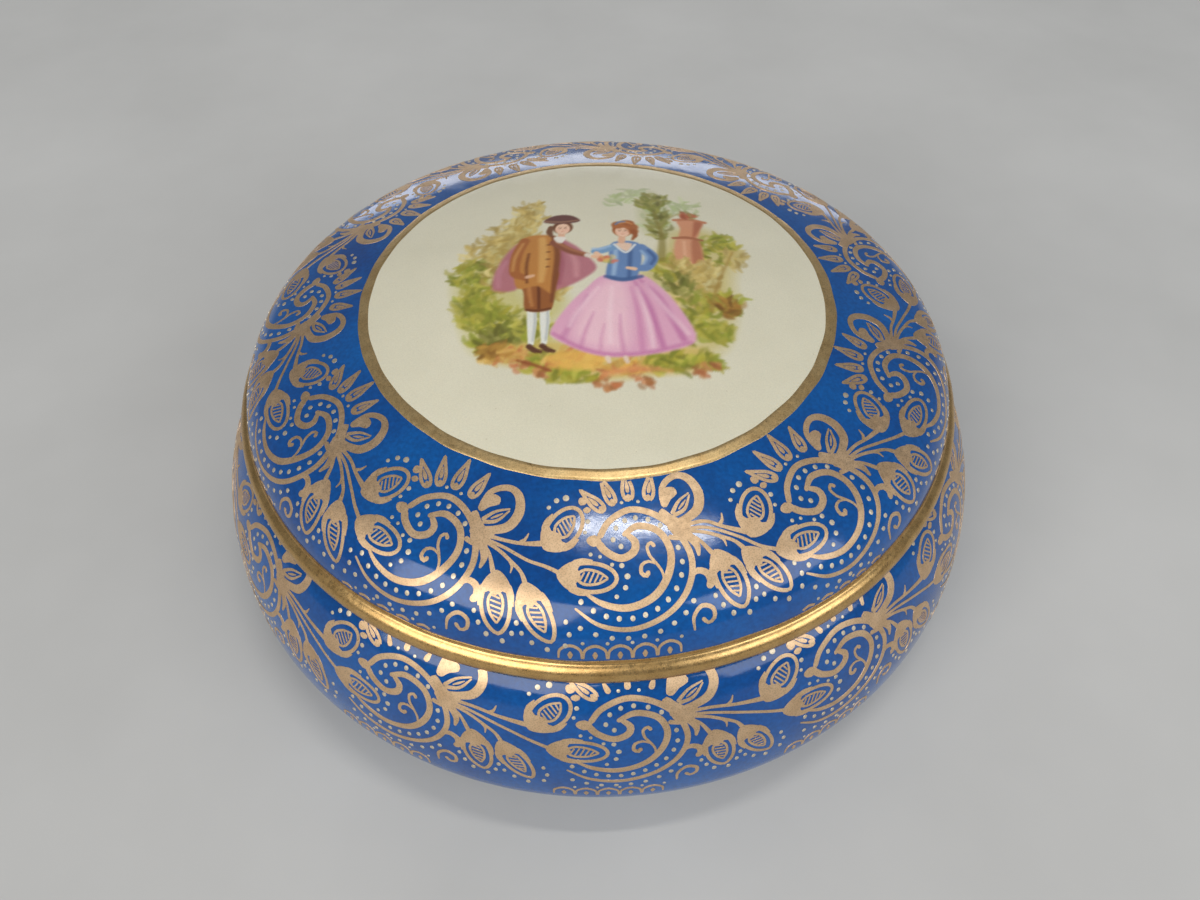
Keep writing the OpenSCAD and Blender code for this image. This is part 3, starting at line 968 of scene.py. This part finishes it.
def garden(art):
    """Bushes and trees behind the two figures: soft undertones, then leaves."""
    for outline, tone, strength in (
        ([(-18.6, 0.8), (-16.0, 4.6), (-12.6, 9.0), (-10.4, 14.6), (-8.6, 15.0), (-8.6, 8.0), (-9.6, 0.0),
          (-9.0, -8.0), (-8.6, -13.6), (-14.4, -13.4), (-17.2, -7.6)], (190, 180, 96), 0.62),
        ([(5.0, -2.0), (8.4, 4.6), (10.4, 9.6), (15.2, 10.4), (18.8, 6.2), (17.8, -1.0), (17.4, -7.2),
          (15.2, -13.2), (10.6, -14.2), (12.4, -10.4), (9.4, -4.0)], (194, 176, 98), 0.62),
        ([(-9.2, -4.0), (-4.8, -3.6), (-3.8, -6.6), (-5.8, -10.4), (-5.2, -13.4), (-9.4, -13.6)],
         (186, 176, 84), 0.5),
        ([(7.0, 9.0), (6.4, 15.4), (7.8, 20.2), (9.6, 16.4), (10.0, 9.6)], (160, 164, 96), 0.5),
    ):
        art.fill(outline, tone, strength, 2.4)
    for place, size, tones, count in (
        ((3.6, 17.6), (2.2, 2.0), MIST, 26), ((6.0, 19.6), (1.6, 1.2), MIST, 12),
        ((11.8, 15.6), (2.6, 2.2), MIST, 34), ((8.2, 12.4), (1.6, 4.0), MIST, 30),
        ((8.0, 16.4), (1.5, 2.9), OLIVE, 60), ((8.7, 10.2), (0.9, 4.0), OLIVE, 34),
        ((-9.2, 14.0), (2.1, 3.6), STRAW, 74), ((-11.4, 9.4), (2.6, 4.4), STRAW, 90),
        ((-14.2, 5.2), (3.4, 3.6), STRAW, 74), ((-16.6, 0.6), (2.8, 2.6), MOSS, 60),
        ((-15.2, -5.6), (2.6, 4.4), MOSS, 150), ((-13.0, -10.2), (2.8, 4.4), MOSS, 120),
        ((-12.2, 1.0), (2.2, 4.4), STRAW, 50), ((-11.6, -12.2), (3.0, 2.4), OLIVE, 50),
        ((12.6, 1.2), (3.4, 3.0), STRAW, 90), ((16.6, 5.4), (2.8, 3.4), MOSS, 80),
        ((18.4, 3.4), (1.8, 2.4), STRAW, 34), ((12.8, -4.6), (3.6, 3.4), STRAW, 90),
        ((16.0, -5.8), (2.6, 2.2), MOSS, 60), ((16.8, -6.2), (1.6, 1.6), BARK, 24),
        ((12.4, -9.2), (2.6, 4.2), MOSS, 80), ((15.2, -11.2), (1.8, 1.6), MOSS, 36),
        ((-7.4, -10.6), (2.0, 2.8), MOSS, 40), ((-4.6, -4.6), (1.0, 1.6), STRAW, 16),
        ((9.2, 0.6), (1.6, 2.6), MOSS, 40), ((10.6, -2.6), (1.6, 2.2), OLIVE, 30),
    ):
        art.leaves(place, size, tones, count)
    art.stroke([(8.6, 3.0), (8.9, 8.0), (8.2, 14.5)], [1.2, 0.9, 0.4], (134, 122, 60), 0.7, 0.5)
    art.stroke([(8.9, 11.0), (10.2, 13.0), (11.8, 14.4)], [0.5, 0.4, 0.25], (150, 140, 84), 0.6, 0.4)
    art.stroke([(14.4, -6.6), (15.9, -1.0), (18.4, 5.6)], [0.6, 0.5, 0.25], (156, 124, 60), 0.55, 0.4)


def ground(art):
    """The grassy bank the figures stand on, with a worn path and reddish lower tips."""
    art.fill([(-13.6, -12.8), (-6.0, -12.2), (2.0, -12.6), (9.0, -12.6), (13.6, -13.6), (13.2, -16.4),
              (6.6, -17.6), (0.6, -18.4), (-5.4, -18.0), (-9.0, -16.2), (-13.6, -14.6)],
             (206, 178, 96), 0.8, 1.2)
    for x, y, w, h, tones, count in (
        (-11.6, -14.2, 3.0, 1.2, EARTH, 50), (-6.6, -15.8, 3.4, 1.4, MOSS, 60),
        (-3.4, -15.6, 3.4, 1.6, EARTH, 60), (-3.6, -18.0, 3.0, 0.9, MOSS, 44),
        (3.4, -16.4, 3.6, 1.2, EARTH, 60), (8.0, -15.8, 3.2, 1.4, MOSS, 60),
        (12.0, -15.4, 2.4, 1.2, MOSS, 50), (-13.4, -13.2, 1.6, 1.4, BARK, 26),
    ):
        art.leaves((x, y), (w, h), tones, count, 1.5, 20, 60)
    for tip in ((-9.6, -15.6), (-7.2, -16.8), (0.4, -18.8), (1.4, -19.2), (5.4, -18.4), (11.8, -16.8),
                (13.4, -15.8)):
        art.leaves(tip, (1.0, 0.7), [(190, 116, 76), (160, 104, 62), (208, 144, 94)], 9, 0.8, 0, 50)
    art.fill([(-6.4, -14.6), (-3.0, -13.8), (0.6, -14.4), (0.2, -16.4), (-4.2, -16.6)],
             (232, 184, 92), 0.75, 0.8)
    art.stroke([(-9.6, -15.0), (-7.6, -15.8), (-5.6, -16.8)], [0.4, 0.5, 0.3], (140, 76, 44), 0.8, 0.35)
    art.stroke([(1.0, -17.4), (4.8, -16.6), (8.8, -16.8)], [0.9, 1.0, 0.4], (226, 150, 100), 0.6, 0.6)


def urn(art):
    """A terracotta garden urn on its plinth."""
    art.fill([(10.6, 2.4), (13.9, 2.0), (13.9, 7.6), (11.0, 8.0)], (212, 150, 116), 0.95, 0.5)
    art.fill([(12.8, 2.2), (14.1, 2.2), (14.0, 7.6), (13.0, 7.8)], (170, 104, 74), 0.75, 0.6)
    art.fill([(11.4, 8.0), (13.6, 8.0), (14.4, 10.6), (14.9, 12.4), (12.8, 12.8), (11.2, 12.4),
              (11.6, 10.4)], (208, 142, 106), 0.95, 0.45)
    art.fill([(13.2, 8.2), (14.0, 9.6), (14.9, 12.2), (13.8, 12.5), (13.4, 10.4)], (166, 96, 68), 0.8, 0.5)
    art.stroke([(10.9, 12.5), (13.0, 12.9), (15.2, 12.4)], [0.6, 0.7, 0.6], (186, 118, 84), 0.9, 0.3)
    art.stroke([(10.5, 7.9), (12.4, 8.2), (14.4, 7.8)], [0.5, 0.6, 0.5], (160, 98, 68), 0.85, 0.3)
    art.stroke([(11.8, 3.0), (11.9, 7.2)], [0.4, 0.4], (232, 180, 146), 0.7, 0.4)
    art.leaves((12.9, 13.6), (1.4, 0.8), [(196, 110, 80), (168, 90, 60), (150, 140, 80)], 22, 1.0)
    art.leaves((11.8, 1.2), (2.4, 1.2), STRAW, 34)


def gentleman(art):
    """A gentleman in a brown coat and a mauve cloak, standing."""
    cloak = [(178, 112, 122), (190, 128, 138), (160, 92, 104)]
    art.fill([(-10.4, 7.0), (-12.6, 3.4), (-13.6, -1.6), (-12.6, -2.9), (-10.0, -2.4), (-9.2, 4.0)],
             cloak[0], 0.95, 0.6)
    art.fill([(-5.6, 7.2), (-3.2, 6.2), (-1.4, 3.8), (0.0, 1.0), (-1.6, -1.2), (-4.4, -3.0), (-5.6, -2.4)],
             cloak[0], 0.95, 0.5)
    art.stroke([(-12.0, 3.0), (-12.8, 0.6), (-12.7, -2.0)], [0.5, 0.9, 0.7], cloak[1], 0.8, 0.5)
    art.stroke([(-4.0, 5.6), (-2.8, 2.4), (-2.6, -0.6)], [0.5, 0.9, 0.7], (206, 146, 150), 0.7, 0.6)
    art.stroke([(-5.0, 6.4), (-4.6, 2.0), (-4.9, -2.0)], [0.5, 0.8, 0.7], cloak[2], 0.8, 0.5)
    # stockings and shoes, then breeches
    for x in (-8.2, -6.6):
        art.stroke([(x, -6.4), (x + 0.1, -9.0), (x + 0.1, -12.4)], [1.25, 1.25, 0.75],
                   (226, 226, 216), 1, 0.25)
        art.stroke([(x + 0.42, -6.8), (x + 0.48, -9.2), (x + 0.3, -12.0)], [0.3, 0.35, 0.25],
                   (172, 176, 176), 0.7, 0.3)
        art.stroke([(x - 0.1, -12.9), (x + 0.5, -13.5), (x + 1.3, -13.8)], [0.8, 0.8, 0.45],
                   (96, 62, 44), 1, 0.25)
    art.fill([(-10.6, 0.6), (-5.2, 0.6), (-5.5, -3.4), (-5.8, -6.8), (-8.9, -6.8), (-9.4, -3.4)],
             (150, 92, 50), 1, 0.3)
    art.stroke([(-7.6, -1.0), (-7.4, -3.6), (-7.3, -6.6)], [0.35, 0.4, 0.35], (98, 54, 32), 0.9, 0.3)
    art.stroke([(-8.8, -1.0), (-8.6, -3.6), (-8.2, -6.0)], [0.5, 0.6, 0.4], (196, 134, 78), 0.75, 0.4)
    art.stroke([(-8.9, -6.7), (-7.4, -6.95), (-5.9, -6.7)], [0.4, 0.4, 0.4], (104, 60, 36), 0.9, 0.25)
    # coat with a bent arm
    art.fill([(-9.6, 8.3), (-6.0, 8.3), (-4.9, 5.0), (-5.2, 0.0), (-5.6, -4.0), (-7.6, -2.4), (-10.2, -2.6),
              (-10.8, 1.4), (-10.4, 5.4)], (188, 128, 66), 1, 0.35)
    art.stroke([(-5.8, 8.0), (-5.2, 4.0), (-5.4, -1.0), (-5.7, -5.4)], [0.7, 0.8, 0.8, 0.5],
               (124, 72, 42), 0.9, 0.35)
    art.stroke([(-7.3, 7.6), (-7.0, 3.0), (-7.2, -1.4)], [1.0, 1.3, 0.8], (214, 164, 96), 0.85, 0.5)
    art.stroke([(-9.7, 7.4), (-10.6, 4.2), (-10.7, 0.6), (-9.4, -0.6)], [1.4, 1.5, 1.4, 1.0],
               (164, 100, 54), 1, 0.3)
    art.stroke([(-9.9, 6.8), (-10.8, 3.8), (-11.0, 1.0)], [0.4, 0.5, 0.4], (206, 150, 88), 0.8, 0.4)
    art.stroke([(-9.0, 4.4), (-9.2, 1.6), (-9.0, -1.6)], [0.35, 0.45, 0.35], (112, 64, 36), 0.8, 0.35)
    for y in (6.2, 4.6, 3.0, 1.4):
        art.stroke([(-6.5, y), (-6.3, y)], [0.34, 0.34], (116, 74, 40), 0.8, 0.25)
    art.stroke([(-9.0, -0.5), (-8.3, -0.3)], [0.7, 0.5], (226, 180, 148), 0.9, 0.3)
    # arm held out to the lady
    art.stroke([(-5.6, 6.6), (-3.4, 4.6), (-1.2, 3.6)], [1.4, 1.2, 0.9], (138, 84, 62), 1, 0.3)
    art.stroke([(-5.2, 6.6), (-3.4, 5.0), (-1.6, 4.0)], [0.4, 0.4, 0.3], (186, 126, 88), 0.7, 0.35)
    art.stroke([(-1.2, 3.6), (-0.6, 3.4)], [0.9, 0.8], (228, 222, 208), 0.9, 0.3)
    art.stroke([(-0.4, 3.3), (0.5, 3.1)], [0.75, 0.6], (230, 184, 150), 1, 0.25)


def lady(art):
    """A lady in a blue bodice and a wide pink skirt."""
    pink, rose, mauve = (222, 166, 190), (238, 196, 206), (188, 112, 158)
    art.fill([(1.0, -0.6), (5.6, -0.4), (8.2, -2.8), (10.6, -6.8), (12.2, -11.2), (10.8, -13.0),
              (6.6, -14.4), (1.6, -14.9), (-2.2, -13.8), (-5.4, -11.6), (-5.6, -10.0), (-3.6, -6.2),
              (-1.4, -3.2)], pink, 1, 0.4)
    art.fill([(0.6, -2.4), (3.6, -2.2), (4.2, -8.0), (3.4, -13.4), (-1.0, -13.0), (-2.8, -10.2)],
             rose, 0.85, 1.8)
    for path, wide, tone in (
        ([(5.4, -1.2), (8.0, -5.0), (10.6, -11.8)], [0.3, 0.9, 0.9], mauve),
        ([(4.9, -1.8), (6.6, -6.4), (8.0, -13.0)], [0.3, 0.8, 0.8], mauve),
        ([(4.4, -3.0), (5.2, -8.0), (5.5, -13.6)], [0.2, 0.6, 0.8], (204, 134, 172)),
        ([(2.9, -8.0), (2.9, -11.0), (3.2, -14.0)], [0.15, 0.45, 0.6], (206, 140, 174)),
        ([(-1.2, -4.4), (-2.9, -8.6), (-4.2, -11.6)], [0.2, 0.6, 0.8], (200, 134, 170)),
        ([(-0.4, -7.6), (-1.4, -10.6), (-2.0, -13.2)], [0.15, 0.45, 0.6], (206, 140, 174)),
        ([(0.9, -9.6), (0.5, -11.8), (0.4, -13.8)], [0.12, 0.35, 0.5], (212, 150, 180)),
        ([(-5.4, -11.0), (-2.0, -13.4), (1.8, -14.5), (6.6, -14.0), (11.4, -12.3)],
         [0.4, 0.5, 0.5, 0.5, 0.4], mauve),
    ):
        art.stroke(path, wide, tone, 0.7, 0.55)
    for path in ([(6.2, -2.2), (8.9, -7.2), (11.2, -10.8)], [(5.2, -3.0), (6.4, -9.0), (6.8, -13.2)],
                 [(0.2, -3.0), (-2.4, -7.4), (-3.4, -9.8)], [(2.0, -3.0), (1.6, -8.0), (1.6, -12.6)]):
        art.stroke(path, [0.3, 0.7, 0.5], (246, 214, 220), 0.6, 0.6)
    for x in (1.2, 3.4):
        art.stroke([(x, -15.0), (x + 0.2, -15.6)], [0.7, 0.5], (228, 206, 190), 0.9, 0.3)
    # bodice, sleeves and hands
    blue, pale, deep = (104, 134, 180), (164, 190, 218), (62, 88, 134)
    art.fill([(2.2, 6.4), (5.6, 6.4), (6.0, 3.0), (5.4, -0.4), (4.6, -1.6), (1.4, -1.2), (1.6, 2.6)],
             blue, 1, 0.3)
    art.stroke([(2.6, 5.6), (2.5, 2.6), (2.2, -0.4)], [0.6, 0.7, 0.6], pale, 0.75, 0.4)
    art.stroke([(4.6, 5.6), (4.4, 2.2), (4.2, -1.0)], [0.6, 0.6, 0.5], deep, 0.7, 0.4)
    art.stroke([(1.2, -0.9), (3.4, -1.5), (5.8, -0.8)], [0.6, 0.8, 0.6], deep, 0.75, 0.35)
    art.stroke([(6.0, 5.4), (7.3, 3.4), (6.6, 1.2), (5.2, 0.8)], [1.5, 1.8, 1.5, 1.0], blue, 1, 0.3)
    art.stroke([(6.9, 4.8), (7.7, 3.2), (7.2, 1.8)], [0.4, 0.5, 0.4], deep, 0.75, 0.35)
    art.stroke([(6.0, 4.6), (6.6, 3.2), (6.2, 1.8)], [0.4, 0.5, 0.4], pale, 0.7, 0.4)
    art.stroke([(2.4, 5.4), (0.7, 4.6), (-0.2, 4.4)], [1.3, 1.3, 1.0], (120, 154, 190), 1, 0.3)
    art.stroke([(1.8, 5.6), (0.6, 5.0), (-0.4, 5.0)], [0.4, 0.5, 0.5], pale, 0.8, 0.4)
    art.stroke([(0.0, 4.0), (0.5, 3.4)], [0.8, 0.7], (232, 190, 158), 1, 0.25)
    art.stroke([(5.0, 0.7), (4.1, 0.9)], [0.7, 0.55], (232, 190, 158), 1, 0.25)
    art.fill([(2.6, 6.2), (4.8, 6.2), (4.0, 4.4)], (236, 200, 172), 0.95, 0.3)
    art.stroke([(2.4, 6.0), (3.9, 4.2), (5.2, 6.0)], [0.35, 0.35, 0.35], (232, 230, 222), 0.9, 0.25)
    art.leaves((1.4, 2.4), (0.9, 0.7), [(214, 120, 96), (226, 190, 110), (140, 150, 70)], 16, 0.7)


def round_shape(cx, cy, wide, tall):
    """Points of an upright oval."""
    angles = np.linspace(0, 2 * math.pi, 12, endpoint=False)
    return [(cx + wide * math.cos(a), cy + tall * math.sin(a)) for a in angles]


def heads(art):
    """Two plain faces with even features, a tricorn hat and pinned-up hair."""
    for cx, cy, hair in ((-4.6, 10.0, (112, 72, 48)), (3.6, 9.2, (158, 92, 50))):
        art.stroke([(cx - 0.1, cy - 1.4), (cx - 0.2, cy - 2.5)], [0.9, 1.0], (222, 174, 144), 1, 0.3)
        art.fill(round_shape(cx, cy + 0.25, 1.4, 1.6), hair, 1, 0.35)
        art.fill(round_shape(cx, cy - 0.1, 1.02, 1.34), (236, 196, 168), 1, 0.25)
        art.stroke([(cx + 0.5, cy - 0.35), (cx + 0.6, cy - 0.45)], [0.7, 0.6], (230, 164, 142), 0.4, 0.6)
        art.stroke([(cx - 0.6, cy - 0.4), (cx - 0.5, cy - 0.45)], [0.6, 0.5], (230, 164, 142), 0.35, 0.6)
        for side in (-0.38, 0.38):
            art.stroke([(cx + side - 0.1, cy + 0.06), (cx + side + 0.1, cy + 0.06)], [0.16] * 2,
                       (104, 74, 62), 0.7, 0.2)
            art.stroke([(cx + side - 0.2, cy + 0.34), (cx + side + 0.2, cy + 0.36)], [0.12] * 2,
                       hair, 0.4, 0.2)
        art.stroke([(cx, cy), (cx + 0.03, cy - 0.36)], [0.1, 0.18], (214, 160, 134), 0.5, 0.2)
        art.stroke([(cx - 0.15, cy - 0.76), (cx + 0.15, cy - 0.76)], [0.16] * 2, (200, 120, 108), 0.6, 0.2)
    art.fill([(-7.3, 11.9), (-5.8, 11.3), (-3.6, 11.3), (-2.2, 11.9), (-3.2, 13.2), (-4.8, 13.6),
              (-6.4, 13.1)], (104, 68, 62), 1, 0.3)
    art.stroke([(-7.0, 12.0), (-4.8, 11.7), (-2.6, 12.0)], [0.3, 0.35, 0.3], (158, 118, 92), 0.8, 0.25)
    art.stroke([(-6.2, 10.4), (-6.4, 9.2), (-6.1, 8.3)], [0.8, 0.9, 0.5], (112, 72, 48), 0.95, 0.3)
    art.fill([(-5.8, 7.9), (-4.8, 8.0), (-4.1, 7.7), (-4.6, 6.5), (-5.4, 6.8)], (232, 228, 218), 0.95, 0.25)
    for x, y, r in ((3.0, 10.7, 0.9), (4.1, 11.0, 1.0), (4.9, 10.2, 0.9), (5.1, 9.2, 0.7), (4.6, 11.2, 0.7)):
        art.fill(round_shape(x, y, r, r), (162, 96, 54), 0.95, 0.4)
    art.stroke([(5.1, 9.2), (5.3, 8.2), (4.9, 7.2)], [0.8, 0.7, 0.3], (150, 84, 46), 0.95, 0.3)
    art.stroke([(2.5, 10.2), (3.4, 10.5), (4.5, 10.1)], [0.5, 0.6, 0.4], (176, 108, 62), 0.9, 0.35)
    art.stroke([(3.2, 11.1), (4.1, 11.5), (4.9, 11.0)], [0.3, 0.4, 0.25], (214, 150, 92), 0.8, 0.35)
    art.stroke([(2.7, 10.9), (3.2, 11.5), (3.9, 11.6)], [0.35, 0.4, 0.3], (104, 134, 180), 0.8, 0.3)


def picture_panel():
    """The pale panel, fine enough to carry the printed picture as colours of its points."""
    edge = panel_r + 0.6
    rising = lid_line.r.argmax()
    x, y = disk_grid(edge)
    z = np.interp(np.hypot(x, y), lid_line.r[:rising], lid_line.z[:rising])
    art = Painting(x, y)
    for part in (garden, ground, urn, gentleman, lady, heads):
        part(art)
    side = GRID + 1
    corner = np.arange(side * side).reshape(side, side)
    corners = [corner[:-1, :-1], corner[1:, :-1], corner[1:, 1:], corner[:-1, 1:]]
    quads = np.stack(corners, -1).reshape(-1, 4)
    border = np.r_[corner[0, :-1], corner[:-1, -1], corner[-1, :0:-1], corner[:0:-1, 0]]
    top = np.stack([x, y, z], -1)
    under = top[border] - [0, 0, LAYER]
    points = np.concatenate([top, under, [[0, 0, dome_top - LAYER]]]) * MM
    first, middle = len(top), len(points) - 1
    panel_faces = [tuple(q) for q in quads.tolist()]
    for i, here in enumerate(border):
        j = (i + 1) % len(border)
        panel_faces.append((int(here), int(border[j]), first + j, first + i))
        panel_faces.append((first + i, first + j, middle))
    piece = make_piece("picture_panel", points, panel_faces, "lid", "picture_panel", PICTURE,
                       ["lid_picture_panel"])
    colours = np.ones((len(points), 4), np.float32)
    colours[:, :3] = (np.array(PAPER) / 255) ** 2.2
    colours[:first, :3] = (np.clip(art.colour, 0, 255) / 255) ** 2.2
    layer = piece.data.color_attributes.new("picture", "FLOAT_COLOR", "POINT")
    layer.data.foreach_set("color", colours.ravel())


# ---------------------------------------------------------------- stage
# The camera stands CAMERA_AWAY rim radii from the middle of the rim; angles are in degrees.
CAMERA_AWAY = 2.631
CAMERA_ELEVATION = 43.95
CAMERA_PITCH = 50.01
CAMERA_PAN = 0.15
CAMERA_ROLL = 0.5
CAMERA_LENS = 27
CAMERA_SENSOR = 36


def camera():
    """The photograph's viewpoint."""
    away, up = CAMERA_AWAY * rim_r * MM, math.radians(CAMERA_ELEVATION)
    pitch, pan, roll = (math.radians(v) for v in (CAMERA_PITCH, CAMERA_PAN, CAMERA_ROLL))
    data = bpy.data.cameras.new("camera")
    data.lens, data.sensor_width = CAMERA_LENS, CAMERA_SENSOR
    data.clip_start, data.clip_end = 0.005, 20
    made = bpy.data.objects.new("camera", data)
    spot = Matrix.Translation((0, -away * math.cos(up), rim_z * MM + away * math.sin(up)))
    turn = Matrix.Rotation(-pan, 4, "Z") @ Matrix.Rotation(math.pi / 2 - pitch, 4, "X")
    made.matrix_world = spot @ turn @ Matrix.Rotation(-roll, 4, "Z")
    bpy.context.scene.collection.objects.link(made)
    bpy.context.scene.camera = made


def lamp(name, place, size, power, colour):
    """A soft rectangular light that faces the box, its long side level."""
    data = bpy.data.lights.new(name, "AREA")
    data.shape = "RECTANGLE"
    data.size, data.size_y = size
    data.energy, data.color = power, colour
    made = bpy.data.objects.new(name, data)
    away = Vector(place).normalized()
    level = Vector((0, 1, 0)).cross(away) if away.z > 0.9 else Vector((0, 0, 1)).cross(away)
    level.normalize()
    turn = Matrix((level, away.cross(level), away)).transposed()
    made.matrix_world = Matrix.Translation(place) @ turn.to_4x4()
    bpy.context.scene.collection.objects.link(made)


def stage():
    """Pale floor, pale surroundings and soft studio light."""
    world = bpy.data.worlds.new("studio")
    world.use_nodes = True
    back = world.node_tree.nodes["Background"]
    back.inputs["Color"].default_value = (0.86, 0.90, 0.96, 1)
    back.inputs["Strength"].default_value = 0.26
    bpy.context.scene.world = world
    lamp("ceiling_strip", (0.13, 0.0, 1.1), (0.42, 0.035), 1.9, (1.0, 0.98, 0.94))
    lamp("front_left_soft", (-0.8, -1.2, 1.1), (1.5, 1.1), 22.0, (1.0, 0.97, 0.92))
    lamp("front_right_soft", (1.1, -0.9, 0.9), (1.1, 0.8), 9.5, (0.96, 0.98, 1.0))
    lamp("low_back_wall", (0.0, 1.7, 0.10), (1.8, 0.16), 2.2, (0.98, 0.98, 1.0))
    material, tree, shader = new_material("pale_floor", {"IOR": 1.4})
    link(tree, cloudy(tree, 60, 4, [(0.3, (0.50, 0.50, 0.49)), (0.7, (0.56, 0.56, 0.55))]),
         shader, "Base Color")
    link(tree, cloudy(tree, 5, 3, [(0.3, 0.5), (0.7, 0.62)]), shader, "Roughness")
    half = 1.5
    corners = [(-half, -half, 0), (half, -half, 0), (half, half, 0), (-half, half, 0)]
    floor = make_piece("floor", corners, [(0, 1, 2, 3)], None, None, material)
    bpy.context.scene.view_settings.view_transform = "Standard"


camera()
stage()
base_bowl()
lid_shell()
coloured_layers()
picture_panel()
gilt_scrolls()
